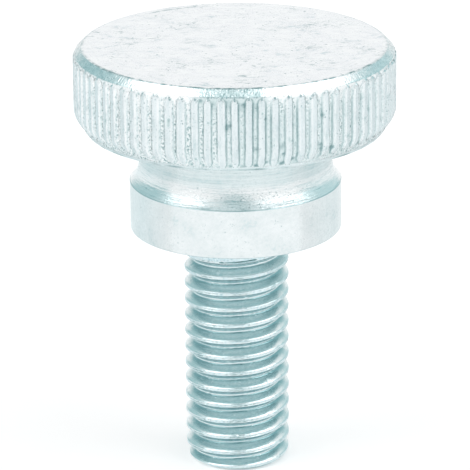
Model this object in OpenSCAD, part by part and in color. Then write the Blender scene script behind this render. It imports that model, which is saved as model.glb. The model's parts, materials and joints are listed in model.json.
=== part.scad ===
// Knurled thumb screw with a collar, turned from one round bar.
// The screw stands on the flat end of its thread: the origin is the centre of that end face, and +Z runs
// along the axis towards the head. All sizes are in millimetres.

/* [Head] */
// Diameter over the tops of the knurl ridges
head_d = 15; // [14:0.1:17]
// Height of the head, from the underside of the collar to the top face
head_h = 8.8; // [8.2:0.1:11]
// Thickness of the knurled disc
disc_h = 3.9; // [3:0.1:4.8]
// Width of the top chamfer, measured along the radius
top_chamfer_w = 0.42; // [0.25:0.01:0.8]
// Height of the top chamfer
top_chamfer_h = 0.4; // [0.2:0.01:0.8]
// Width of the lower chamfer, measured along the radius
low_chamfer_w = 0.55; // [0.25:0.01:0.9]
// Height of the lower chamfer
low_chamfer_h = 0.8; // [0.3:0.05:1.2]

/* [Knurl] */
// Number of straight ridges round the disc
ridge_count = 76; // [60:1:90]
// Depth of the grooves between the ridges
ridge_depth = 0.14; // [0.08:0.01:0.24]
// Share of the pitch taken by the nearly flat top of a ridge
ridge_top_share = 0.46; // [0.2:0.01:0.6]
// Share of the depth by which a ridge has fallen at its shoulders
shoulder_share = 0.16; // [0.1:0.01:0.6]

/* [Neck and collar] */
// Diameter of the neck between the disc and the collar
neck_d = 9.04; // [8.7:0.02:9.5]
// Height of the flare that runs from the neck out to the collar
flare_h = 0.72; // [0.5:0.01:1.2]
// Depth of the hollow in the flare, measured from a straight cone
flare_hollow = 0.05; // [0.02:0.01:0.12]
// Diameter of the collar
collar_d = 9.92; // [9.5:0.02:10.3]
// Height of the collar's straight wall
collar_h = 2.3; // [1.5:0.1:3]
// Size of the broken edge round the foot of the collar
collar_edge = 0.08; // [0.04:0.01:0.3]

/* [Thread] */
// Nominal diameter of the thread
thread_d = 5; // [4:0.1:6]
// Pitch of the right-hand thread
thread_pitch = 0.8; // [0.7:0.05:1]
// Amount by which the crests are under the nominal diameter
crest_allowance = 0.06; // [0:0.01:0.15]
// Width of the flat crest of a thread
crest_w = 0.12; // [0.08:0.01:0.22]
// Depth of the thread groove
thread_depth = 0.43; // [0.3:0.01:0.44]
// Length from the underside of the collar to the end of the thread
shank_len = 11.6; // [8:0.1:20]
// Plain length left under the collar
plain_len = 0.45; // [0.3:0.05:2]
// Turns over which the groove runs out under the collar
runout_turns = 0.75; // [0.5:0.05:1.5]
// Direction in which the groove leaves the end face, in degrees about the axis
thread_start = 20; // [0:5:355]
// Diameter of the flat end face
end_d = 4.2; // [3.4:0.1:4.4]
// Height of the chamfer on the end of the thread
end_chamfer_h = 0.5; // [0.3:0.05:0.9]

/* [Hidden] */
zinc = [0.80, 0.86, 0.88];
smooth = 128;

head_r = head_d / 2;
neck_r = neck_d / 2;
collar_r = collar_d / 2;
collar_z = shank_len;
flare_z = collar_z + collar_h;
neck_z = flare_z + flare_h;
top_z = collar_z + head_h;
disc_z = top_z - disc_h;

// The flare's hollow is an arc from the edge of the neck to the edge of the collar
flare_step = collar_r - neck_r;
flare_chord = sqrt(pow(flare_step, 2) + pow(flare_h, 2));
flare_r = (pow(flare_chord / 2, 2) + pow(flare_hollow, 2)) / (2 * flare_hollow);
flare_away = (flare_r - flare_hollow) / flare_chord;

crest_r = (thread_d - crest_allowance) / 2;
root_r = crest_r - thread_depth;
end_r = end_d / 2;
half_angle = 30;
crest_gap = thread_pitch - crest_w;
root_gap = crest_gap - 2 * thread_depth * tan(half_angle);
steps_per_turn = 30;
corners = 4;
// The threaded rod starts one turn below the end face and ends one turn above its cut inside the collar
turns_below = 1;
rod_top = collar_z + collar_h / 2;
steps = ceil((turns_below + rod_top / thread_pitch + 1) * steps_per_turn);
step_angle = 360 / steps_per_turn;
// Step at which the groove has run out, under the plain length below the collar
last_groove_step = (turns_below + (collar_z - plain_len - crest_gap / 2) / thread_pitch) * steps_per_turn;
runout_steps = runout_turns * steps_per_turn;
// Both turned blanks reach this much past what is cut into them
overreach = 0.05;

// Share of its full depth that the groove has at step i
function groove_share(i) = max(0, min(1, (last_groove_step - i) / runout_steps));

// Height of the middle of the groove at step i
function groove_z(i) = thread_pitch * (i / steps_per_turn - turns_below);

// A point at step i, at radius r and at height z from the middle of the groove
function groove_point(i, r, z) =
    let (a = thread_start + i * step_angle)
    [r * cos(a), r * sin(a), groove_z(i) + z];

// The four corners of the groove's section at step i: lower lip, lower root, upper root, upper lip
function groove_section(i) =
    let (r = crest_r - groove_share(i) * thread_depth)
    [
        groove_point(i, crest_r, -crest_gap / 2),
        groove_point(i, r, -root_gap / 2),
        groove_point(i, r, root_gap / 2),
        groove_point(i, crest_r, crest_gap / 2)
    ];

// Index of corner k at step i, where the corner after the upper lip is the lower lip one turn on
function corner_index(i, k) = k < corners ? i * corners + k : (i + steps_per_turn) * corners;

// A point on ridge i, at a share of the pitch past its peak, fallen by a share of the groove's depth
function ridge_point(i, along, fall) =
    let (a = (i + along) * 360 / ridge_count, r = head_r - fall * ridge_depth)
    [r * cos(a), r * sin(a)];

module ridge_outline() {
    shoulder = ridge_top_share / 2;
    polygon([
        for (i = [0 : ridge_count - 1], p = [
            [-0.5, 1],
            [-shoulder, shoulder_share],
            [0, 0],
            [shoulder, shoulder_share]
        ]) ridge_point(i, p[0], p[1])
    ]);
}

// The disc: straight ridges cut into a turned blank with a chamfer above and below
module knurled_disc() {
    intersection() {
        rotate_extrude($fn = smooth)
            polygon([
                [0, disc_z],
                [head_r - low_chamfer_w, disc_z],
                [head_r + overreach, disc_z + low_chamfer_h * (1 + overreach / low_chamfer_w)],
                [head_r + overreach, top_z - top_chamfer_h * (1 + overreach / top_chamfer_w)],
                [head_r - top_chamfer_w, top_z],
                [0, top_z]
            ]);
        translate([0, 0, disc_z - overreach])
            linear_extrude(height = disc_h + 2 * overreach)
                ridge_outline();
    }
}

// The neck, its hollow flare and the collar that bears on the work
module neck_and_collar() {
    rotate_extrude($fn = smooth)
        difference() {
            polygon([
                [0, collar_z],
                [collar_r - collar_edge, collar_z],
                [collar_r, collar_z + collar_edge],
                [collar_r, flare_z],
                [collar_r, neck_z],
                [neck_r, neck_z],
                [neck_r, disc_z + disc_h / 2],
                [0, disc_z + disc_h / 2]
            ]);
            intersection() {
                translate([
                    neck_r + flare_step / 2 + flare_away * flare_h,
                    flare_z + flare_h / 2 + flare_away * flare_step
                ])
                    circle(r = flare_r, $fn = smooth);
                translate([0, flare_z])
                    square([collar_r + overreach, flare_h]);
            }
        }
}

// The threaded rod, as one closed skin of triangles that follows the groove round the axis
module threaded_rod() {
    skin = [
        for (i = [0 : steps - 1], k = [0 : corners - 1])
            if (k < corners - 1 || i + steps_per_turn < steps)
                let (
                    a = corner_index(i, k),
                    b = corner_index(i, k + 1),
                    c = corner_index(i + 1, k + 1),
                    d = corner_index(i + 1, k)
                )
                each [[a, b, c], [a, c, d]]
    ];
    low_rim = [for (i = [0 : steps_per_turn]) corner_index(i, 0), 3, 2, 1];
    high_rim = [
        for (i = [steps - steps_per_turn : steps]) corner_index(i, corners - 1),
        for (k = [corners - 2 : -1 : 0]) corner_index(steps, k)
    ];
    low_centre = (steps + 1) * corners;
    high_centre = low_centre + 1;
    low_cap = [for (i = [0 : len(low_rim) - 1]) [low_centre, low_rim[i], low_rim[(i + 1) % len(low_rim)]]];
    high_cap = [
        for (i = [0 : len(high_rim) - 1]) [high_centre, high_rim[(i + 1) % len(high_rim)], high_rim[i]]
    ];
    polyhedron(
        points = concat(
            [for (i = [0 : steps]) each groove_section(i)],
            [[0, 0, groove_z(0)], [0, 0, groove_z(steps)]]
        ),
        faces = concat(skin, low_cap, high_cap)
    );
}

// The shank: the rod cut flat and chamfered at its end, and cut flat inside the collar
module threaded_shank() {
    intersection() {
        threaded_rod();
        rotate_extrude($fn = smooth)
            polygon([
                [0, 0],
                [end_r, 0],
                [crest_r + overreach, end_chamfer_h * (1 + overreach / (crest_r - end_r))],
                [crest_r + overreach, rod_top],
                [0, rod_top]
            ]);
    }
}

module thumb_screw() {
    color(zinc)
        union() {
            knurled_disc();
            neck_and_collar();
            threaded_shank();
        }
}

thumb_screw();
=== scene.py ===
"""Looks of the knurled thumb screw: turned, knurled and rolled skins, zinc finish, studio and camera.

The screw's sizes are in millimetres, and become metres where its meshes are made. The studio and the
camera are in metres. The screw stands on the end of its thread at the origin and +Z runs up its axis.
Angles about the axis are counted counter-clockwise from +X, seen from above.
"""

import json
import math

import bpy
import numpy as np
from mathutils import Matrix, Vector


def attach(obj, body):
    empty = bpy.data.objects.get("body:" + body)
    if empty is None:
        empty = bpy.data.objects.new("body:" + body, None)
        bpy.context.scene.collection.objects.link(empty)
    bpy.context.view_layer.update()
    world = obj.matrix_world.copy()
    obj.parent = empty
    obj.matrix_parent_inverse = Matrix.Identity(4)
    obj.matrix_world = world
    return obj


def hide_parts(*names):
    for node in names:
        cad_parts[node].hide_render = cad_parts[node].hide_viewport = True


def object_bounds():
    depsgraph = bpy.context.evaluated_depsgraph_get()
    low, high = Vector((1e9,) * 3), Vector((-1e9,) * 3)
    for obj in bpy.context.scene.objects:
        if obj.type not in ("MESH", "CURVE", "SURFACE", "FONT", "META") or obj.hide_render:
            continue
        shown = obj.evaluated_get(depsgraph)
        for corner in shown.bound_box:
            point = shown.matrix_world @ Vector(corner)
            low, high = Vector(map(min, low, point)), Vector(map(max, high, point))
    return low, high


MM = 0.001
NODE = "thumb_screw"
rng = np.random.default_rng(20)

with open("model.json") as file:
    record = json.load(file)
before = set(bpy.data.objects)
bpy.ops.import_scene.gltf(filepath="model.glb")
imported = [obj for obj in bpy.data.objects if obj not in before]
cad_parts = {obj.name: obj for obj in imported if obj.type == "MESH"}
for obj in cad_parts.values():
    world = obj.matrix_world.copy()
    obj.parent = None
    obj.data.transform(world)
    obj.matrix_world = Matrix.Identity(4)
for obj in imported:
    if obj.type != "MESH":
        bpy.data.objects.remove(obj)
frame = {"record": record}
cad_low, cad_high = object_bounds()
mounts = {m["name"]: m for m in frame["record"]["mounts"]}

# Places and sizes of the CAD model
HEAD_R = (cad_high.x - cad_low.x) / 2 / MM
TOP_Z = cad_high.z / MM
COLLAR_Z = mounts["bearing_face"]["pos_m"][2] / MM
THREAD_R = mounts["thread"]["dims"]["r_mm"]
DISC_H = 3.9
DISC_Z = TOP_Z - DISC_H
TOP_CHAMFER_W, TOP_CHAMFER_H = 0.42, 0.4
LOW_CHAMFER_W, LOW_CHAMFER_H = 0.55, 0.8
NECK_R, FLARE_H, FLARE_HOLLOW = 4.52, 0.72, 0.05
COLLAR_R, COLLAR_H, COLLAR_EDGE = 4.96, 2.3, 0.08
PITCH, THREAD_DEPTH, CREST_W = 0.8, 0.43, 0.12
END_R, END_CHAMFER_H = 2.1, 0.5
# How far the neck runs on inside the disc, and the thread inside the collar
NECK_INSIDE, THREAD_INSIDE = 0.4, 0.5


# ---------------------------------------------------------------- shapes


def waves(angle, along, count, turns, rate, seed):
    """A smooth random field between about -1 and 1 that closes round the axis: a sum of cosines."""
    picks = np.random.default_rng(seed)
    total = np.zeros(np.broadcast(angle, along).shape)
    for _ in range(count):
        m = picks.integers(-turns, turns + 1)
        total += np.cos(m * angle + picks.normal(0, rate) * along + picks.uniform(0, 2 * math.pi))
    return total / math.sqrt(count / 2) / 2


def dents(angle, along, radius, places):
    """Sum of small round hollows; places are rows of angle, place along the axis, width and depth."""
    total = np.zeros(np.broadcast(angle, along).shape)
    for where, height, width, depth in places:
        across = (np.mod(angle - where + math.pi, 2 * math.pi) - math.pi) * radius
        total += depth * np.exp(-(across**2 + (along - height) ** 2) / width**2)
    return total


def soft_min(a, b, width):
    """The lower of two heights, with the corner between them rounded over about this width."""
    return (a + b - np.sqrt((a - b) ** 2 + width**2)) / 2


def rounded_profile(corners, radii, step):
    """Points (radius, height) along a chain of corners, each rounded over its radius, a step apart."""
    path = [np.array(corners[0], float)]
    for k in range(1, len(corners) - 1):
        before, here, after = (np.array(corners[i], float) for i in (k - 1, k, k + 1))
        back = (before - here) / np.linalg.norm(before - here)
        on = (after - here) / np.linalg.norm(after - here)
        for t in np.linspace(0, 1, 5):
            path.append(here + radii[k] * (back * (1 - t) ** 2 + on * t**2))
    path.append(np.array(corners[-1], float))
    points = [path[0]]
    for start, end in zip(path, path[1:]):
        length = np.linalg.norm(end - start)
        middle = (start + end) / 2
        pieces = max(1, round(length / step(middle)))
        points += [start + (end - start) * (i + 1) / pieces for i in range(pieces)]
    return np.array(points)


def ring(angle, radius, height):
    return np.stack(
        [radius * np.cos(angle), radius * np.sin(angle), np.broadcast_to(height, angle.shape)], axis=1
    )


def skin(name, rings, first=None, last=None):
    """A closed mesh through rings of points that run up the axis. The counts of two neighbours are equal,
    or one is a multiple of the other. first and last are the points that close the ends."""
    verts, faces, starts = [], [], []
    for points in rings:
        starts.append(sum(len(v) for v in verts))
        verts.append(points)
    for k, (low, high) in enumerate(zip(rings, rings[1:])):
        a, b, n, m = starts[k], starts[k + 1], len(low), len(high)
        if n == m:
            faces += [(a + j, a + (j + 1) % n, b + (j + 1) % n, b + j) for j in range(n)]
        elif n > m:
            s = n // m
            for j in range(m):
                fan = [a + (j * s + i) % n for i in range(s + 1)]
                faces += [(fan[i], fan[i + 1], b + j) for i in range(s // 2)]
                faces.append((fan[s // 2], b + (j + 1) % m, b + j))
                faces += [(fan[i], fan[i + 1], b + (j + 1) % m) for i in range(s // 2, s)]
        else:
            s = m // n
            for j in range(n):
                fan = [b + (j * s + i) % m for i in range(s + 1)]
                faces += [(fan[i + 1], fan[i], a + j) for i in range(s // 2)]
                faces.append((fan[s // 2], a + j, a + (j + 1) % n))
                faces += [(fan[i + 1], fan[i], a + (j + 1) % n) for i in range(s // 2, s)]
    total = sum(len(v) for v in verts)
    if first is not None:
        verts.append(np.array([first]))
        n = len(rings[0])
        faces += [(starts[0] + (j + 1) % n, starts[0] + j, total) for j in range(n)]
        total += 1
    if last is not None:
        verts.append(np.array([last]))
        n = len(rings[-1])
        faces += [(starts[-1] + j, starts[-1] + (j + 1) % n, total) for j in range(n)]
    return make_piece(name, np.concatenate(verts), faces)


def make_piece(name, points, faces):
    mesh = bpy.data.meshes.new(name)
    mesh.from_pydata((points * MM).tolist(), [], faces)
    mesh.update()
    mesh.shade_smooth()
    piece = bpy.data.objects.new(name, mesh)
    bpy.context.scene.collection.objects.link(piece)
    return piece


# ---------------------------------------------------------------- the knurled disc

RIDGES, STEPS_PER_RIDGE, RIDGE_DEPTH = 76, 16, 0.14
HALF_DEPTH = RIDGE_DEPTH / 2
# One in so many of the rim's points goes on into the flat face
TOP_RING_SHARE = 4
NOSE = 0.26
RIDGE_TOP_END = TOP_Z - TOP_CHAMFER_H + 0.01
RIDGE_LOW_END = DISC_Z + 0.19
LOW_END_RISE, LOW_END_RISE_MAX = 1.0, 0.22
# Half of a ridge's flat top, its steep wall and its gentle wall, as shares of the pitch, and how far its
# top is crowned, as a share of the depth
TOP_HALF, WALL, GENTLE_WALL, CROWN = 0.225, 0.11, 1.6 * 0.11, 0.08
# Values below 0 paint a highlight, brighter metal, down to this
PAINTED_HIGHLIGHT = -0.5
PIT_FADE = 0.2
LOW_FADE_FROM = DISC_Z + LOW_CHAMFER_H * 0.75
MIDDLE = TOP_Z - 2
FRONT = -math.pi / 2
KNURL_NICKS, NICK_REACH = 260, 0.4
FACE_EDGE, FACE_RINGS = 0.15, 30


def ridge_picks(low, high, seed):
    return np.random.default_rng(seed).uniform(low, high, RIDGES)


SHIFT, LEAN, WIDTH = ridge_picks(-0.05, 0.05, 3), ridge_picks(-0.02, 0.02, 5), ridge_picks(0.88, 1.12, 6)
END_UP, END_DOWN = ridge_picks(-0.07, 0.02, 7), ridge_picks(-0.03, 0.06, 8)
# The second of these sets how dark each groove's lines of dirt and painted shade are
PIT_UP, LINE_DARKNESS = ridge_picks(-0.14, 0.04, 9), ridge_picks(0.7, 1.0, 10)
TOP_SPOT, LOW_SPOT = ridge_picks(0, 1, 11) ** 2, ridge_picks(0, 1, 12) ** 2


def from_front(angle):
    """Angle from the front of the screw, positive towards the right, between -pi and pi."""
    return np.mod(angle - FRONT + math.pi, 2 * math.pi) - math.pi


def bump(value, middle, width):
    return np.exp(-(((value - middle) / width) ** 2))


def front_patch(front):
    """1 over a rough patch of the chamfer at the front, where a dark reflection is painted, 0 elsewhere.
    """
    return np.clip((0.27 - np.abs(front + 0.03)) / 0.1, 0, 1)


def knurl_relief(angle, height):
    """Relief of the knurl, from 1 on a ridge through 0 on the plain blank to -1 in a groove, then how dark
    the colour is painted there, with dirt, painted shade and painted highlights, and how much of it is
    rough groove floor. The ridges are flat with steep sides and rounded noses, and each is a little
    different."""
    place = angle * RIDGES / (2 * math.pi)
    index = np.mod(np.round(place), RIDGES).astype(int)
    across = place - np.round(place) - SHIFT[index] - LEAN[index] * (height - MIDDLE)
    across = (across + 0.012 * waves(angle, height, 24, 300, 9, 21)) / WIDTH[index]
    front = from_front(angle)
    low_end = RIDGE_LOW_END + np.minimum(LOW_END_RISE * (1 - np.cos(front)), LOW_END_RISE_MAX)
    up = np.clip((height - (RIDGE_TOP_END + END_UP[index] - NOSE)) / NOSE, 0, 1)
    down = np.clip((low_end + END_DOWN[index] + NOSE - height) / NOSE, 0, 1)
    slim = np.sqrt(np.maximum(1 - up**2, 0)) * np.sqrt(np.maximum(1 - down**2, 0)) + 1e-3
    # How far a point lies past the middle of one ridge and before the next, as shares of the pitch
    past = np.where(across < 0, across + 1, across)
    before = 1 - past
    half = TOP_HALF - 0.05 * bump(front, 0.35, 0.4)
    steep = np.clip((past / slim - half) / WALL, 0, 1)
    gentle = np.clip((before / slim - half) / GENTLE_WALL, 0, 1)
    crown = CROWN * np.minimum(1, np.abs(across / slim) / 0.22) ** 2
    fall = np.minimum(steep, gentle)
    relief = 1 - 2 * np.minimum(1, crown + (1 - CROWN) * fall)
    groove = np.mod(np.floor(place), RIDGES).astype(int)
    sink = np.clip((RIDGE_TOP_END + PIT_UP[groove] - height) / PIT_FADE, 0, 1)
    relief = np.where(relief < 0, relief * sink, relief)

    # Dark lines along both walls of a groove and round the noses, partly dirt and partly painted shade,
    # most at the front
    reach = np.clip((RIDGE_TOP_END + 0.04 - height) / 0.06, 0, 1) * np.where(height > low_end + 0.03, 1, 0)
    back = np.clip((np.abs(front) - 1.5) / 0.5, 0, 1)
    right_wall = 0.9 - 0.55 * np.clip((front - 0.15) / 0.3, 0, 1)
    right_wall = right_wall + 0.3 * np.clip((front - 0.7) / 0.3, 0, 1)
    left_wall = 0.15 + 0.75 * np.clip((front + 0.2) / 0.25, 0, 1)
    far_right = np.clip((front - 0.5) / 0.3, 0, 1) * (1 - back)
    thick = 0.037 + 0.045 * np.clip((front + 0.35) / 0.4, 0, 1)
    right_at = 0.31 * slim - 0.05 * bump(front, 0.35, 0.4)
    left_at = (0.31 + 0.045 * far_right) * slim
    lines = (right_wall * (1 - back) + 0.6 * back) * bump(past, right_at, thick)
    lines = lines + (left_wall * (1 - back) + 0.4 * back) * bump(before, left_at, thick)
    lines = lines * (1 + 0.15 * far_right)
    # Where the painted highlight along each ridge's shoulders lies
    shine = bump(past, 0.19 * slim, 0.04) + bump(before, 0.19 * slim, 0.04)
    top_spot = bump(height, RIDGE_TOP_END - 0.12 + PIT_UP[groove], 0.09) * bump(past, 0.45, 0.12)
    low_spot = bump(height, low_end + 0.08, 0.09) * bump(past, 0.55, 0.15)
    spots = TOP_SPOT[groove] * top_spot + LOW_SPOT[groove] * low_spot
    # Above the noses and between their tops the blank shows, with a painted highlight but for a rough
    # patch at the front painted dark as a reflection
    patch = front_patch(front)
    uncut = np.maximum(fall, np.where(up >= 1, 1, 0))
    blank = 0.3 * patch + PAINTED_HIGHLIGHT * (1 - patch)
    blank = blank * np.clip((height - (RIDGE_TOP_END - 0.9)) / 0.8, 0, 1) * uncut
    # Groove floors: painted shade near the front and a painted highlight elsewhere
    floor = (0.48 * bump(front, 0.2, 0.65) - 0.22) * fall * sink
    # The plain band below the ridges is painted a little darker, as shade
    bare = 0.15 * np.where(height < low_end, 1, 0)
    darkness = blank + floor + bare + lines * reach * LINE_DARKNESS[groove] * 0.95 + spots * 0.9
    # Painted highlight on the ridges' shoulders and on the groove walls
    darkness = darkness - (0.25 * shine * (1 - fall) + 1.5 * fall * (1 - fall)) * reach
    return relief, np.clip(darkness, PAINTED_HIGHLIGHT, 1), fall * sink


def make_disc():
    def step(at):
        r, z = at
        if z <= DISC_Z + 0.001 and r < HEAD_R - LOW_CHAMFER_W:
            return 1.2
        if z < DISC_Z + LOW_CHAMFER_H:
            return 0.075
        return 0.14 if z < RIDGE_TOP_END - NOSE - 0.15 else 0.045

    rim = HEAD_R - TOP_CHAMFER_W
    profile = rounded_profile(
        [
            (NECK_R - 0.6, DISC_Z),
            (HEAD_R - LOW_CHAMFER_W, DISC_Z),
            (HEAD_R, DISC_Z + LOW_CHAMFER_H),
            (HEAD_R, TOP_Z - TOP_CHAMFER_H),
            (rim, TOP_Z),
            (rim - FACE_EDGE, TOP_Z),
        ],
        [0, 0.06, 0.2, 0.13, 0.07, 0],
        step,
    )
    fine = np.arange(RIDGES * STEPS_PER_RIDGE) * 2 * math.pi / (RIDGES * STEPS_PER_RIDGE)
    front = from_front(fine)
    nicks = [
        (
            rng.uniform(0, 2 * math.pi),
            rng.uniform(DISC_Z + 0.3, RIDGE_TOP_END - 0.1),
            rng.uniform(0.05, 0.11),
            rng.uniform(0.01, 0.05),
        )
        for _ in range(KNURL_NICKS)
    ]
    rings, depths, roughs = [], [], []
    for r, z in profile:
        radius = np.full(fine.shape, r)
        depth, rough = np.zeros(fine.shape), np.zeros(fine.shape)
        # A ragged line of painted shade along the disc's underside and lower edge
        if z < DISC_Z + 0.14:
            depth = np.clip(0.35 + 0.35 * waves(fine, z, 30, 60, 6, 32), 0.1, 0.7)
        if z > DISC_Z + 0.05 and r > rim:
            relief, darkness, rough = knurl_relief(fine, z)
            line = r if z < MIDDLE else HEAD_R - 0.004
            share = np.clip((z - RIDGE_LOW_END) / (LOW_FADE_FROM - RIDGE_LOW_END), 0, 1)
            radius = soft_min(np.full(fine.shape, r), line - HALF_DEPTH * share * (1 - relief), 0.012)
            pits = dents(fine, z, HEAD_R, [n for n in nicks if abs(n[1] - z) < NICK_REACH])
            radius = radius - pits - 0.005 * (1 + waves(fine, z, 60, 700, 14, 5))
            if z < RIDGE_TOP_END:
                depth = np.clip(darkness + pits / 0.06, depth + PAINTED_HIGHLIGHT, 1)
            else:
                # On the chamfer: a painted highlight, with a rough patch at the front and rough stretches
                # at the sides painted dark as reflections
                patch = front_patch(front)
                mottled = waves(fine, z, 60, 500, 25, 34)
                depth = PAINTED_HIGHLIGHT + (0.42 - PAINTED_HIGHLIGHT) * patch + 0.45 * patch * mottled
                off = np.abs(front)
                side = np.clip((off - 0.7) / 0.2, 0, 1) * np.clip((2.2 - off) / 0.2, 0, 1)
                depth = depth + side * np.clip(0.35 + 0.6 * mottled, 0, 1)
                rough = 0.8 * patch + 0.45 * side
        if z > TOP_Z - 0.05 and -0.13 < r - rim < 0.05:
            ragged = 0.5 + 0.5 * waves(fine, 0, 40, 90, 1, 31) + 0.35 * waves(fine, r, 30, 260, 20, 33)
            ragged = ragged * (1 - 0.6 * np.clip((np.abs(front) - 0.9) / 0.4, 0, 1))
            depth = np.maximum(depth, 0) + np.clip(ragged, 0, 1) * min(1, 1 + (r - rim) / 0.13)
        rings.append(ring(fine, radius, z))
        depths.append(depth)
        roughs.append(rough)
    coarse = fine[::TOP_RING_SHARE]
    for share in np.linspace(1, 0, FACE_RINGS, endpoint=False)[1:]:
        rings.append(ring(coarse, np.full(coarse.shape, (rim - FACE_EDGE) * share), TOP_Z))
        depths.append(np.zeros(coarse.shape))
        roughs.append(np.zeros(coarse.shape))
    piece = skin("knurled_disc", rings, (0, 0, DISC_Z), (0, 0, TOP_Z))
    mark(piece, "depth", np.concatenate(depths + [np.zeros(2)]))
    mark(piece, "rough", np.concatenate(roughs + [np.zeros(2)]))
    return piece


def mark(piece, name, values):
    """Stores a value at each point, such as the dirt, painted shade or painted highlight there, for the
    finish to read.
    """
    layer = piece.data.attributes.new(name, "FLOAT", "POINT")
    layer.data.foreach_set("value", values.astype(np.float32))


# ---------------------------------------------------------------- the neck and collar

COLLAR_STEPS = 288
FILLET = 0.4
# The turning rings are the mean of so many waves up the neck, and the tool marks are about this deep
RING_TONES, TOOL_MARK = 9, 0.004


def make_collar():
    flare_z = COLLAR_Z + COLLAR_H
    neck_z = flare_z + FLARE_H
    edge_point, neck_point = np.array([COLLAR_R, flare_z]), np.array([NECK_R, neck_z])
    chord = neck_point - edge_point
    inward = np.array([-chord[1], chord[0]]) / np.linalg.norm(chord)
    flare = [
        tuple(edge_point + chord * t + inward * FLARE_HOLLOW * 4 * t * (1 - t))
        for t in np.linspace(0, 1, 34)
    ]
    wall = [(COLLAR_R, z) for z in np.linspace(COLLAR_Z + COLLAR_EDGE, flare_z - 0.03, 30)]
    neck = [(NECK_R, z) for z in np.arange(neck_z + FILLET, DISC_Z + NECK_INSIDE, 0.03)]
    flare = [point for point in flare if point[1] < neck_z - FILLET * 0.8]
    start, corner, end = np.array(flare[-1]), neck_point, neck_point + [0, FILLET]
    flare += [
        tuple(start * (1 - t) ** 2 + corner * 2 * t * (1 - t) + end * t**2)
        for t in np.linspace(0, 1, 14)[1:-1]
    ]
    foot = [(r, COLLAR_Z) for r in np.linspace(1.6, COLLAR_R - COLLAR_EDGE, 8)]
    edge = [
        (COLLAR_R - COLLAR_EDGE * (1 - math.sin(a)), COLLAR_Z + COLLAR_EDGE * (1 - math.cos(a)))
        for a in np.linspace(0, math.pi / 2, 5)[1:-1]
    ]
    profile = np.array(foot + edge + wall + flare + neck)
    around = np.arange(COLLAR_STEPS) * 2 * math.pi / COLLAR_STEPS
    marks = np.random.default_rng(8)
    tones = [
        (marks.uniform(18, 60), marks.uniform(0, 2 * math.pi), marks.uniform(0.3, 1))
        for _ in range(RING_TONES)
    ]
    rings, darkness = [], []
    for r, z in profile:
        radius = np.full(around.shape, r)
        if z > flare_z - 0.02:
            cut = sum(size * math.cos(rate * z + start) for rate, start, size in tones) / RING_TONES
            radius = radius - TOOL_MARK * (1 + cut + 0.4 * waves(around, z, 12, 4, 30, 9))
        elif z > COLLAR_Z + 0.01:
            radius = radius - TOOL_MARK * (1 + waves(around, z, 30, 14, 3, 10))
        rings.append(ring(around, radius, z))
        # Painted shade and highlight, ring by ring
        darkness.append(np.full(around.shape, painted_shade_and_highlight(z, flare_z, neck_z)))
    piece = skin("neck_and_collar", rings, (0, 0, COLLAR_Z), (0, 0, DISC_Z + NECK_INSIDE))
    mark(piece, "depth", np.concatenate(darkness + [np.zeros(2)]))
    return piece


def painted_shade_and_highlight(z, flare_z, neck_z):
    """The neck is painted darker than the flare and the collar, as shade under the disc, and the flare
    lighter, as a highlight; dark lines run along the top and bottom edges of the collar.
    """
    if abs(z - flare_z) < 0.02 or z < COLLAR_Z + 0.03:
        return 0.7
    if z < flare_z:
        return 0.06
    return PAINTED_HIGHLIGHT * 0.6 + (0.33 - PAINTED_HIGHLIGHT * 0.6) * min(1, max(0, (z - neck_z + 0.1) / 0.5))


# ---------------------------------------------------------------- the rolled thread

TURN_STEPS, ROWS_PER_PITCH = 180, 28
ROOT_R = THREAD_R - THREAD_DEPTH
CREST_START = math.radians(200)
FLANK = math.tan(math.radians(30))
THREAD_TOP = COLLAR_Z + THREAD_INSIDE
# Each crest is wider by this much on both sides and lies as much higher, so that its lower edge stays put
CREST_SPREAD = 0.015
# Painted shade for each millimetre of a crease's depth
CREASE_SHADE = 14
# The groove runs out under the collar: height of its middle where it ends, and the turns it takes to fade
PLAIN_LEN, RUNOUT_TURNS = 0.45, 0.75
LAST_GROOVE_Z = COLLAR_Z - PLAIN_LEN - (PITCH - CREST_W) / 2
THREAD_NICKS = [
    (
        rng.uniform(-math.pi, math.pi),
        rng.uniform(0.3, COLLAR_Z),
        rng.uniform(0.03, 0.08),
        rng.uniform(0.01, 0.05),
    )
    for _ in range(260)
]


def thread_place(angle, height):
    """Height of a point above the middle of the nearest crest."""
    turn = height / PITCH - (angle - CREST_START) / (2 * math.pi)
    return (turn - np.round(turn)) * PITCH


def groove_share(angle, height):
    """Share of its full depth that the groove has where a point lies."""
    place = thread_place(angle, height)
    middle = height - place + np.where(place > 0, PITCH / 2, -PITCH / 2)
    return np.clip((LAST_GROOVE_Z - middle) / (RUNOUT_TURNS * PITCH), 0, 1)


def crest_crease(angle, height):
    """Depth of the rough crease that rolling leaves along the middle of a crest."""
    travel = height * 2 * math.pi / PITCH
    wander = 0.02 * waves(angle, travel / 14, 14, 5, 1, 12)
    long_waves, short_waves = waves(angle, travel / 14, 18, 11, 1, 13), waves(angle, height, 40, 90, 2, 15)
    depth = 0.024 + 0.03 * long_waves + 0.03 * short_waves
    ends = np.clip((COLLAR_Z - 0.9 - height) / 0.1, 0, 1)
    return ends * np.clip(depth, 0, 0.07) * bump(thread_place(angle, height), wander, 0.026)


# Nicks at both ends of the torn line: angle, height, width and depth
TORN_ENDS = [(FRONT - 0.27, COLLAR_Z - 1.08, 0.05, 0.06), (FRONT + 0.35, COLLAR_Z - 1.0, 0.06, 0.06)]


def torn_line(angle, height):
    """A ragged raised line on the last turn, at the front: up to 1 on it, below 0 in the nick over it."""
    front = from_front(angle)
    middle = COLLAR_Z - 1.13 + 0.2 * front
    ragged = np.where(np.abs(front - 0.04) < 0.36, 0.95 + 0.5 * waves(angle, 0, 40, 120, 1, 16), 0)
    line = bump(height, middle, 0.03) - 1.4 * bump(height, middle + 0.075, 0.022)
    return np.clip(ragged, 0, 1) * line - 20 * dents(angle, height, THREAD_R, TORN_ENDS)


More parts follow.
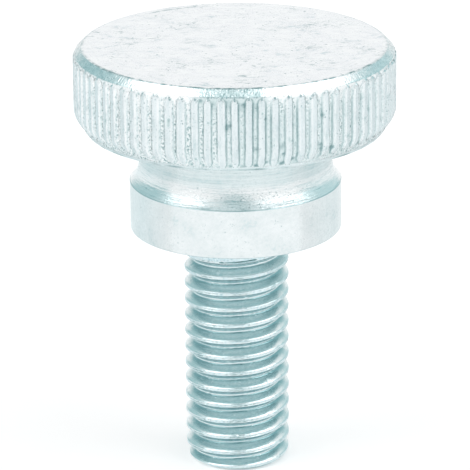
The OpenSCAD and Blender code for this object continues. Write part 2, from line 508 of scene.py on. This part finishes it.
def thread_radius(angle, height):
    """Radius of the rolled thread: creased crests, straight flanks, rounded roots and a rounded end."""
    place = thread_place(angle, height) - CREST_SPREAD
    flank = THREAD_R - (np.abs(place) - CREST_W / 2 - CREST_SPREAD) / FLANK
    crest = soft_min(flank, np.full(flank.shape, THREAD_R), 0.04)
    radius = -soft_min(-crest, np.full(flank.shape, -ROOT_R), 0.1)
    radius = THREAD_R - groove_share(angle, height) * (THREAD_R - radius) - crest_crease(angle, height)
    radius = radius - dents(angle, height, THREAD_R, THREAD_NICKS) + 0.05 * torn_line(angle, height)
    radius = radius - 0.005 * (1 + waves(angle, height, 60, 110, 22, 14))
    rise = np.clip(height / END_CHAMFER_H, 0, 1)
    tip = END_R + (THREAD_R - END_R) * np.sqrt(1 - (1 - rise) ** 2) + np.where(rise >= 1, 1, 0)
    return soft_min(radius, tip, 0.04)


def thread_painted_shade(angle, height):
    """Painted shade on the thread: 0 on the crests, more and more down the flanks that face up, full on
    those that face down, and little in the upper half of the roots, which leaves a painted highlight line
    there."""
    place = thread_place(angle, height)
    edge, bottom = CREST_W / 2, CREST_W / 2 + THREAD_DEPTH * FLANK
    upper = np.interp(
        place,
        [edge - 0.02, edge + 0.04, edge + 0.12, bottom - 0.06, bottom + 0.02],
        [0, 0.3, 0.4, 0.75, 0.95],
    )
    under = np.interp(
        -place,
        [edge - 0.01, edge + 0.03, bottom - 0.12, bottom - 0.06, PITCH / 2 - 0.02, PITCH / 2],
        [0, 1, 1, 0.1, 0, 0.5],
    )
    darkness = groove_share(angle, height) * np.where(place > 0, upper, under)
    # Painted shade in the crests' creases
    darkness = darkness + crest_crease(angle, height) * CREASE_SHADE
    # A painted highlight on the torn line and painted shade in the nick over it
    return np.clip(darkness - torn_line(angle, height), 0, 1)


def make_thread():
    # The rows of points lie closest along the middle of the crests
    half = ROWS_PER_PITCH // 2
    share = (np.arange(ROWS_PER_PITCH) - half + 1) / half
    offsets = np.sign(share) * np.abs(share) ** 1.5 * PITCH / 2
    crests = (np.arange(-1, math.ceil(THREAD_TOP / PITCH) + 2) - CREST_START / (2 * math.pi)) * PITCH
    starts = (crests[:, None] + offsets[None, :]).ravel()
    around = np.arange(TURN_STEPS) * 2 * math.pi / TURN_STEPS
    height = np.clip(starts[:, None] + PITCH * around[None, :] / (2 * math.pi), 0, THREAD_TOP)
    angle = np.broadcast_to(around, height.shape)
    radius = thread_radius(angle, height)
    points = np.stack([radius * np.cos(angle), radius * np.sin(angle), height], axis=2)
    rows = len(starts)
    last = rows - 1

    def index(i, j):
        return (i, j) if j < TURN_STEPS else (min(i + ROWS_PER_PITCH, last), 0)

    # Points of one column that share a place at either end become one point
    number, place = {}, []
    for j in range(TURN_STEPS):
        for i in range(rows):
            z = height[i, j]
            key = ("low", j) if z <= 0 else ("high", j) if z >= THREAD_TOP else (i, j)
            if key not in number:
                number[key] = len(place)
                place.append(points[i, j])
            number[("at", i, j)] = number[key]
    faces = []
    for j in range(TURN_STEPS):
        for i in range(last):
            corners = [(i, j), index(i, j + 1), index(i + 1, j + 1), (i + 1, j)]
            loop = [number[("at", *c)] for c in corners]
            kept = [v for k, v in enumerate(loop) if v != loop[k - 1]]
            if len(set(kept)) > 2:
                faces.append(tuple(kept))
    columns = range(TURN_STEPS)
    foot = [number[("low", j)] for j in columns]
    rim = [place[v] for v in foot]
    for share in (0.93, 0.8, 0.6, 0.4, 0.2):
        inner = list(range(len(place), len(place) + TURN_STEPS))
        place += [point * [share, share, 0] for point in rim]
        faces += [(foot[j - 1], inner[j - 1], inner[j], foot[j]) for j in columns]
        foot = inner
    place.append(np.zeros(3))
    faces += [(foot[j - 1], len(place) - 1, foot[j]) for j in columns]
    head = [number[("high", j)] for j in columns]
    place.append(np.array([0, 0, THREAD_TOP]))
    faces += [(head[j - 1], head[j], len(place) - 1) for j in columns]
    place = np.array(place)
    piece = make_piece("rolled_thread", place, faces)
    mark(piece, "depth", thread_painted_shade(np.arctan2(place[:, 1], place[:, 0]), place[:, 2]))
    return piece


# ---------------------------------------------------------------- zinc finish


class Nodes:
    """Short calls for building one node tree."""

    def __init__(self, tree):
        self.tree = tree
        tree.nodes.clear()

    def add(self, kind, inputs=(), **settings):
        node = self.tree.nodes.new(kind)
        for key, value in settings.items():
            setattr(node, key, value)
        for key, value in dict(inputs).items():
            if isinstance(value, bpy.types.NodeSocket):
                self.tree.links.new(value, node.inputs[key])
            else:
                node.inputs[key].default_value = value
        return node

    def math(self, operation, *values):
        return self.add("ShaderNodeMath", enumerate(values), operation=operation).outputs[0]

    def noise(self, vector, scale, detail=3.0, roughness=0.5, distortion=0.0):
        inputs = {"Vector": vector, "Scale": scale, "Detail": detail, "Roughness": roughness}
        return self.add("ShaderNodeTexNoise", {**inputs, "Distortion": distortion}).outputs["Fac"]

    def ramp(self, value, stops):
        node = self.add("ShaderNodeValToRGB", {"Fac": value})
        while len(node.color_ramp.elements) < len(stops):
            node.color_ramp.elements.new(0.5)
        for element, (place, colour) in zip(node.color_ramp.elements, stops):
            element.position = place
            element.color = (*colour, 1)
        return node.outputs["Color"]

    def mix(self, share, a, b):
        node = self.add("ShaderNodeMix", data_type="RGBA")
        for key, value in (("Factor_Float", share), ("A_Color", a), ("B_Color", b)):
            socket = next(s for s in node.inputs if s.identifier == key)
            if isinstance(value, bpy.types.NodeSocket):
                self.tree.links.new(value, socket)
            else:
                socket.default_value = value if key == "Factor_Float" else (*value, 1)
        return next(s for s in node.outputs if s.identifier == "Result_Color")


ZINC_PALE = (0.83, 0.87, 0.88)
FACE = (0.835, 0.865, 0.89)
FACE_PALE = (0.90, 0.93, 0.94)
FACE_MARK = (0.54, 0.66, 0.69)
RIDGE = (0.665, 0.745, 0.765)
RIDGE_PALE = (0.73, 0.80, 0.82)
RIDGE_GREY = (0.55, 0.665, 0.685)
# Colour of painted highlights
HIGHLIGHT_ZINC = (0.92, 0.945, 0.95)
# Colour of the painted shade on the neck
NECK_SHADE_TEAL = (0.36, 0.53, 0.55)
GROOVE_PALE = (0.63, 0.74, 0.75)
# Dark colour of pits and marks, also used for painted shade
PIT_AND_SHADE = (0.23, 0.36, 0.375)
TURNED = (0.725, 0.78, 0.79)
TURNED_PALE = (0.81, 0.85, 0.86)
TURNED_MARK = (0.58, 0.69, 0.71)
CREST, CREST_PALE, CREST_GREY = (0.58, 0.73, 0.77), (0.73, 0.84, 0.87), (0.38, 0.55, 0.60)
FLANK_PALE = (0.79, 0.86, 0.87)
FLANK_DARK = (0.30, 0.485, 0.51)

# A dark line inside the rim at the back left of the top face: its radius, and its direction about the axis
RIM_MARK_R, RIM_MARK_TURN = 6.66, 2.0
# The middle of the part of the flare that has small pits, as a direction about the axis
PITTED_TURN, FLARE_TOP = -1.35, COLLAR_Z + COLLAR_H + FLARE_H


class Finish(Nodes):
    """A zinc-plated finish: noise in millimetres, then a metal shader on top of what the noise gives."""

    def __init__(self, name):
        self.material = bpy.data.materials.new(name)
        self.material.use_nodes = True
        super().__init__(self.material.node_tree)
        place = self.add("ShaderNodeTexCoord").outputs["Object"]
        self.mm = self.stretch(place, (1 / MM,) * 3)

    def stretch(self, vector, scale):
        return self.add("ShaderNodeVectorMath", {0: vector, 1: scale}, operation="MULTIPLY").outputs[0]

    def grain(self, scale, detail=3.0, roughness=0.5, stretch=None, distortion=0.0):
        vector = self.stretch(self.mm, stretch) if stretch else self.mm
        return self.noise(vector, scale, detail, roughness, distortion)

    def span(self, value, low, high, to_low=0.0, to_high=1.0):
        inputs = {"Value": value, "From Min": low, "From Max": high, "To Min": to_low, "To Max": to_high}
        return self.add("ShaderNodeMapRange", inputs).outputs[0]

    def mask(self, a, b):
        return self.math("MULTIPLY", a, b)

    def hairlines(self, scale, width, stretch, distortion=1.5):
        """Thin wandering lines, where a stretched noise passes through its middle value."""
        value = self.grain(scale, 1.0, 0.5, stretch, distortion)
        return self.span(self.math("ABSOLUTE", self.math("SUBTRACT", value, 0.5)), 0.0, width, 1.0, 0.0)

    def metal(self, colour, rough, bumps):
        """bumps are pairs of a height and its size in millimetres."""
        height = None
        for value, size in bumps:
            part = self.math("MULTIPLY", value, size)
            height = part if height is None else self.math("ADD", height, part)
        bump = self.add("ShaderNodeBump", {"Height": height, "Distance": MM, "Strength": 1.0}).outputs[0]
        inputs = {"Base Color": colour, "Metallic": 1.0, "Roughness": rough, "Normal": bump}
        shader = self.add("ShaderNodeBsdfPrincipled", inputs)
        self.add("ShaderNodeOutputMaterial", {"Surface": shader.outputs[0]})
        return self.material


def knurl_finish():
    """Smooth ridge tops, rough speckled grooves, dark pits, dirt and painted shade along the grooves, and
    a painted highlight on the chamfer.
    """
    n = Finish("zinc_knurl")
    depth = n.add("ShaderNodeAttribute", attribute_name="depth").outputs["Fac"]
    rough = n.add("ShaderNodeAttribute", attribute_name="rough").outputs["Fac"]
    cloud, fine = n.grain(1.1, 3), n.grain(13, 4, 0.65)
    streaks = n.grain(6, 3, 0.6, (1, 1, 0.12))
    grit = n.grain(11, 2, 0.7, (1, 1, 0.8))
    tone = n.math("ADD", n.mask(cloud, 0.3), n.math("ADD", n.mask(fine, 0.35), n.mask(streaks, 0.35)))
    colour = n.ramp(tone, [(0.38, RIDGE_GREY), (0.47, RIDGE), (0.58, RIDGE_PALE)])
    speckle = n.ramp(grit, [(0.38, PIT_AND_SHADE), (0.44, GROOVE_PALE), (0.57, ZINC_PALE)])
    colour = n.mix(n.mask(rough, 0.9), colour, speckle)
    # Painted highlight where the depth attribute is below 0
    colour = n.mix(n.span(depth, 0, PAINTED_HIGHLIGHT), colour, HIGHLIGHT_ZINC)
    noisy = n.math("ADD", depth, n.math("MULTIPLY", n.math("SUBTRACT", fine, 0.5), n.mask(depth, 1.2)))
    # Dirt and painted shade where the depth attribute is above 0
    colour = n.mix(n.span(noisy, 0.05, 0.4), colour, GROOVE_PALE)
    colour = n.mix(n.span(noisy, 0.3, 0.9), colour, PIT_AND_SHADE)
    pits = n.span(n.grain(9.5, 2, 0.6), 0.65, 0.72)
    colour = n.mix(n.mask(pits, 0.8), colour, PIT_AND_SHADE)
    gloss = n.span(depth, 0.1, 0.8, 0.22, 0.45)
    return n.metal(colour, gloss, [(fine, 0.004), (n.mask(grit, rough), 0.03), (cloud, 0.008)])


def face_finish():
    """The faced top: pale, with faint waves, patches of fine scratches, a few specks and one rim mark."""
    n = Finish("zinc_face")
    cloud, fine = n.grain(0.7, 4, 0.6), n.grain(8, 3, 0.6)
    dash = n.grain(1.9, 4, 0.7, (0.7, 1.1, 1.0), 0.8)
    patch = n.span(n.grain(0.5, 3, 0.6), 0.5, 0.62)
    x, y, _ = n.add("ShaderNodeSeparateXYZ", {0: n.mm}).outputs
    out = n.math("SQRT", n.math("ADD", n.math("MULTIPLY", x, x), n.math("MULTIPLY", y, y)))
    turn = n.math("ARCTAN2", y, x)
    across, round_axis = n.math("MULTIPLY", out, 7.0), n.math("MULTIPLY", turn, 2.2)
    polar = n.add("ShaderNodeCombineXYZ", {0: across, 1: round_axis}).outputs[0]
    arcs = n.span(n.noise(polar, 1.0, 3, 0.6, 0.3), 0.6, 0.72)
    tone = n.math("ADD", n.mask(cloud, 0.25), n.mask(dash, 0.75))
    colour = n.ramp(tone, [(0.34, FACE_MARK), (0.42, FACE), (0.6, FACE_PALE)])
    strokes = n.span(n.grain(2.6, 4, 0.75, (0.6, 1.2, 1.0), 0.7), 0.44, 0.36)
    colour = n.mix(n.mask(n.mask(strokes, patch), 0.7), colour, PIT_AND_SHADE)
    for scale, width, stretch, wander, share in (
        (1.3, 0.012, (0.5, 1.6, 1.0), 1.5, 0.75),
        (0.9, 0.008, (1.3, 0.6, 1.0), 2.5, 0.5),
        (2.2, 0.02, (0.6, 1.2, 1.0), 1.0, 0.6),
    ):
        lines = n.hairlines(scale, width, stretch, wander)
        broken = n.span(n.grain(3.1 * scale, 2, 0.6), 0.48, 0.56)
        colour = n.mix(n.mask(n.mask(lines, broken), n.mask(patch, share)), colour, PIT_AND_SHADE)
    colour = n.mix(n.mask(arcs, 0.3), colour, FACE_MARK)
    pits = n.span(n.grain(5.5, 1, 0.5), 0.71, 0.76)
    colour = n.mix(n.mask(pits, 0.8), colour, PIT_AND_SHADE)
    depth = n.add("ShaderNodeAttribute", attribute_name="depth").outputs["Fac"]
    colour = n.mix(n.span(depth, 0.0, 0.6), colour, PIT_AND_SHADE)
    near_rim = n.span(n.math("ABSOLUTE", n.math("SUBTRACT", out, RIM_MARK_R)), 0.0, 0.12, 1.0, 0.0)
    along_rim = n.span(n.math("ABSOLUTE", n.math("SUBTRACT", turn, RIM_MARK_TURN)), 0.17, 0.27, 1.0, 0.0)
    ragged = n.span(n.grain(3, 3, 0.7), 0.38, 0.5)
    colour = n.mix(n.mask(n.mask(near_rim, along_rim), n.mask(ragged, 0.8)), colour, PIT_AND_SHADE)
    gloss = n.span(dash, 0.35, 0.65, 0.30, 0.20)
    return n.metal(colour, gloss, [(fine, 0.002), (dash, 0.012)])


def turned_finish():
    """The neck, flare and collar: turning rings above the collar's edge, a cloudy collar below it, and
    painted shade and highlight.
    """
    n = Finish("zinc_turned")
    cloud, fine = n.grain(0.9, 4, 0.6), n.grain(7, 4, 0.65)
    rings = n.grain(1.6, 5, 0.75, (0.12, 0.12, 5.0))
    scores = n.grain(1.6, 3, 0.6, (0.35, 0.35, 8.0))
    strokes = n.grain(2.2, 4, 0.6, (1.0, 1.0, 0.35))
    x, y, height = n.add("ShaderNodeSeparateXYZ", {0: n.mm}).outputs
    above = n.span(height, COLLAR_Z + COLLAR_H - 0.02, COLLAR_Z + COLLAR_H + 0.02)
    ringed = n.span(above, 0.0, 1.0, 0.1, 1.0)
    tone = n.math("ADD", n.mask(cloud, 0.4), n.math("ADD", n.mask(fine, 0.3), 0.15))
    tone = n.math("ADD", tone, n.mask(n.math("SUBTRACT", rings, 0.5), n.mask(ringed, 0.7)))
    depth = n.add("ShaderNodeAttribute", attribute_name="depth").outputs["Fac"]
    colour = n.ramp(tone, [(0.36, TURNED_MARK), (0.45, TURNED), (0.58, TURNED_PALE)])
    # Painted highlight on the flare
    colour = n.mix(n.span(depth, 0, PAINTED_HIGHLIGHT), colour, HIGHLIGHT_ZINC)
    # Painted shade on the neck, and dark lines along the collar's edges
    colour = n.mix(n.span(depth, 0, 1), colour, NECK_SHADE_TEAL)
    dark_scores = n.mask(n.span(scores, 0.40, 0.34), above)
    colour = n.mix(n.mask(dark_scores, 0.75), colour, TURNED_MARK)
    specks = n.grain(9, 2, 0.6)
    pits = n.mask(n.span(specks, 0.66, 0.72), n.span(cloud, 0.46, 0.54))
    colour = n.mix(n.mask(pits, 0.55), colour, PIT_AND_SHADE)
    turn = n.math("ARCTAN2", y, x)
    pitted = n.span(n.math("ABSOLUTE", n.math("SUBTRACT", turn, PITTED_TURN)), 0.75, 0.3)
    pitted = n.mask(pitted, n.span(height, FLARE_TOP + 0.25, FLARE_TOP - 0.1))
    flare_pits = n.mask(n.span(n.grain(8.5, 2, 0.6, (1, 1, 1.8)), 0.58, 0.68), n.mask(above, pitted))
    colour = n.mix(n.mask(flare_pits, 0.75), colour, PIT_AND_SHADE)
    gloss = n.span(strokes, 0.35, 0.65, 0.15, 0.25)
    ring_bump = n.mask(n.math("SUBTRACT", rings, 0.5), ringed)
    score_bump = n.mask(scores, above)
    return n.metal(colour, gloss, [(fine, 0.003), (ring_bump, 0.02), (score_bump, 0.01), (strokes, 0.006)])


def thread_finish():
    """Bright crests over flanks and roots painted darker as shade."""
    n = Finish("zinc_thread")
    depth = n.add("ShaderNodeAttribute", attribute_name="depth").outputs["Fac"]
    cloud, fine = n.grain(0.9, 4, 0.6), n.grain(12, 4, 0.65)
    tone = n.math("ADD", n.mask(cloud, 0.4), n.mask(fine, 0.6))
    crest = n.ramp(tone, [(0.4, CREST_GREY), (0.48, CREST), (0.6, CREST_PALE)])
    # Painted shade from the depth attribute: pale near the crests, dark down the flanks
    colour = n.mix(n.span(depth, 0.0, 0.3), crest, FLANK_PALE)
    colour = n.mix(n.span(depth, 0.3, 1.0), colour, FLANK_DARK)
    specks = n.span(n.grain(8, 2, 0.6), 0.64, 0.70)
    colour = n.mix(n.mask(specks, 0.6), colour, ZINC_PALE)
    pits = n.span(n.grain(9, 2, 0.6), 0.36, 0.31)
    colour = n.mix(n.mask(pits, 0.6), colour, FLANK_DARK)
    rough = n.span(fine, 0.3, 0.7, 0.17, 0.28)
    return n.metal(colour, rough, [(fine, 0.004), (cloud, 0.01)])


# ---------------------------------------------------------------- studio

LIGHT_DISTANCE = 0.55
CARD_TEAL = (0.22, 0.40, 0.42)
CARD_LOW = (0.44, 0.59, 0.61)
CARD_NEAR = (0.34, 0.50, 0.52)
CARD_TOP = (0.52, 0.60, 0.61)
CARD_LEFT, CARD_RIGHT = (0.42, 0.62, 0.64), (0.53, 0.73, 0.75)
# How much darker than white the last wedge on the table is on each side, and how high the wedges lie
TABLE_LEFT, TABLE_RIGHT, TABLE_CARD_Z = 0.09, 0.05, 0.0004


def visibility(thing, camera, diffuse, glossy, shadow):
    thing.visible_camera, thing.visible_diffuse = camera, diffuse
    thing.visible_glossy, thing.visible_transmission = glossy, glossy
    thing.visible_shadow = shadow


def softbox(name, azimuth, elevation, width, height, radiance):
    """A square lamp that faces the screw. Azimuth 0 is the camera's side and 90 is its right."""
    light = bpy.data.lights.new(name, "AREA")
    light.shape, light.size, light.size_y = "RECTANGLE", width, height
    light.energy = radiance * math.pi * width * height
    lamp = bpy.data.objects.new(name, light)
    a, e = math.radians(azimuth), math.radians(elevation)
    away = Vector((math.sin(a) * math.cos(e), -math.cos(a) * math.cos(e), math.sin(e)))
    lamp.location = away * LIGHT_DISTANCE + Vector((0, 0, TOP_Z * MM / 2))
    lamp.rotation_euler = away.to_track_quat("Z", "Y").to_euler()
    bpy.context.scene.collection.objects.link(lamp)


def upright(across, y, low, high):
    """Corners of a card that stands across the view between two places."""
    left, right = across
    return [(left, y, low), (right, y, low), (right, y, high), (left, y, high)]


def card(name, corners, colour):
    """A flat card, seen only in reflections."""
    mesh = bpy.data.meshes.new(name)
    mesh.from_pydata(corners, [], [tuple(range(len(corners)))])
    thing = bpy.data.objects.new(name, mesh)
    material = bpy.data.materials.new(name)
    material.use_nodes = True
    n = Nodes(material.node_tree)
    glow = n.add("ShaderNodeEmission", {"Color": (*colour, 1), "Strength": 1.0})
    n.add("ShaderNodeOutputMaterial", {"Surface": glow.outputs[0]})
    mesh.materials.append(material)
    bpy.context.scene.collection.objects.link(thing)
    visibility(thing, camera=False, diffuse=False, glossy=True, shadow=False)


def seen_directly(n):
    """1 for rays from the camera or from a surface that mirrors or passes them, and 0 for diffuse rays."""
    path = n.add("ShaderNodeLightPath").outputs
    seen = n.math("MAXIMUM", path["Is Camera Ray"], path["Is Glossy Ray"])
    return n.math("MAXIMUM", seen, path["Is Transmission Ray"])


def make_world():
    world = bpy.data.worlds.new("studio")
    bpy.context.scene.world = world
    world.use_nodes = True
    n = Nodes(world.node_tree)
    light = n.add("ShaderNodeBackground", {"Color": (1, 1, 1, 1), "Strength": 0.55})
    white = n.add("ShaderNodeBackground", {"Color": (1, 1, 1, 1), "Strength": 1.0})
    both = n.add("ShaderNodeMixShader", {0: seen_directly(n), 1: light.outputs[0], 2: white.outputs[0]})
    n.add("ShaderNodeOutputWorld", {"Surface": both.outputs[0]})


def make_floor():
    half = 2.0
    mesh = bpy.data.meshes.new("floor")
    corners = [(-half, -half, 0), (half, -half, 0), (half, half, 0), (-half, half, 0)]
    mesh.from_pydata(corners, [], [(0, 1, 2, 3)])
    floor = bpy.data.objects.new("floor", mesh)
    material = bpy.data.materials.new("pale_floor")
    material.use_nodes = True
    n = Nodes(material.node_tree)
    paint = n.add("ShaderNodeBsdfDiffuse", {"Color": (0.9, 0.9, 0.9, 1)})
    strength = n.math("MULTIPLY", seen_directly(n), 0.33)
    glow = n.add("ShaderNodeEmission", {"Color": (1, 1, 1, 1), "Strength": strength})
    both = n.add("ShaderNodeAddShader", {0: paint.outputs[0], 1: glow.outputs[0]})
    n.add("ShaderNodeOutputMaterial", {"Surface": both.outputs[0]})
    mesh.materials.append(material)
    bpy.context.scene.collection.objects.link(floor)


def make_studio():
    make_world()
    make_floor()
    softbox("softbox_left", -68, 52, 0.42, 0.42, 1.3)
    softbox("softbox_right", 68, 52, 0.5, 0.46, 1.3)
    # Dark cards in front of, above and on both sides of the screw, with the softboxes between them
    front, fold, top = -0.7, -0.42, 0.62
    low, middle = 0.1, 0.36
    across = (-0.2, 0.17)
    card("card_front_low", upright(across, front, low, middle), CARD_LOW)
    card("card_front", upright(across, front, middle, top), CARD_TEAL)
    near = [(-0.18, front), (0.16, front), (0.13, fold), (-0.13, fold)]
    card("card_top_near", [(x, y, top) for x, y in near], CARD_NEAR)
    far = [(-0.13, fold), (0.13, fold), (0.1, -0.2), (0.05, 0.4), (-0.05, 0.4), (-0.1, -0.2)]
    card("card_top", [(x, y, top) for x, y in far], CARD_TOP)
    for side, name, colour, rise, low in (
        (-1, "card_side_left", CARD_LEFT, 0.14, 0.08),
        (1, "card_side_right", CARD_RIGHT, 0, 0.05),
    ):
        card(
            name,
            [
                (side * 0.75, -0.1, low), (side * 0.42, 0.85, low),
                (side * 0.42, 0.85, 0.5 + rise), (side * 0.75, -0.1, 0.6 + rise),
            ],
            colour,
        )
    # Pale cards lie on the table on both sides, each wedge a little darker than the one in front of it
    bearings = [70, 80, 90, 100, 110, 160]
    inner, outer = 0.012, 0.25
    for side, name, dark in ((-1, "card_table_left", TABLE_LEFT), (1, "card_table_right", TABLE_RIGHT)):
        for k, (start, end) in enumerate(zip(bearings, bearings[1:])):
            tone = 1 - dark * (k + 1) / (len(bearings) - 1)
            spots = [(inner, start), (outer, start), (outer, end), (inner, end)]
            card(
                "%s_%d" % (name, k),
                [
                    (side * r * math.sin(math.radians(a)), -r * math.cos(math.radians(a)), TABLE_CARD_Z)
                    for r, a in spots
                ],
                (tone, 1 - (1 - tone) * 0.15, 1),
            )


# ---------------------------------------------------------------- camera

CAMERA_DISTANCE, CAMERA_ELEVATION, CAMERA_ROLL = 0.165, 19.34, -0.51
CAMERA_LENS = 268.5
LOOK_X, LOOK_BELOW_COLLAR = -0.05, 0.56


def make_camera():
    scene = bpy.context.scene
    data = bpy.data.cameras.new("camera")
    data.lens, data.sensor_width = CAMERA_LENS, 36
    data.clip_start, data.clip_end = 0.01, 10
    camera = bpy.data.objects.new("camera", data)
    e = math.radians(CAMERA_ELEVATION)
    back = Vector((0, -math.cos(e), math.sin(e)))
    look = Vector((LOOK_X * MM, 0, (COLLAR_Z - LOOK_BELOW_COLLAR) * MM))
    turn = (-back).to_track_quat("-Z", "Y").to_matrix().to_4x4()
    turn = turn @ Matrix.Rotation(math.radians(CAMERA_ROLL), 4, "Z")
    camera.matrix_world = Matrix.Translation(look + back * CAMERA_DISTANCE) @ turn
    scene.collection.objects.link(camera)
    scene.camera = camera


# ---------------------------------------------------------------- put together

make_camera()
disc = make_disc()
disc.data.materials.append(knurl_finish())
disc.data.materials.append(face_finish())
for face in disc.data.polygons:
    face.material_index = int(face.center.z > (TOP_Z - 0.03) * MM and face.normal.z > 0.95)
collar = make_collar()
collar.data.materials.append(turned_finish())
thread = make_thread()
thread.data.materials.append(thread_finish())
for piece in (disc, collar, thread):
    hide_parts(NODE)
    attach(piece, "root")
make_studio()

bpy.context.scene.view_settings.view_transform = "Standard"
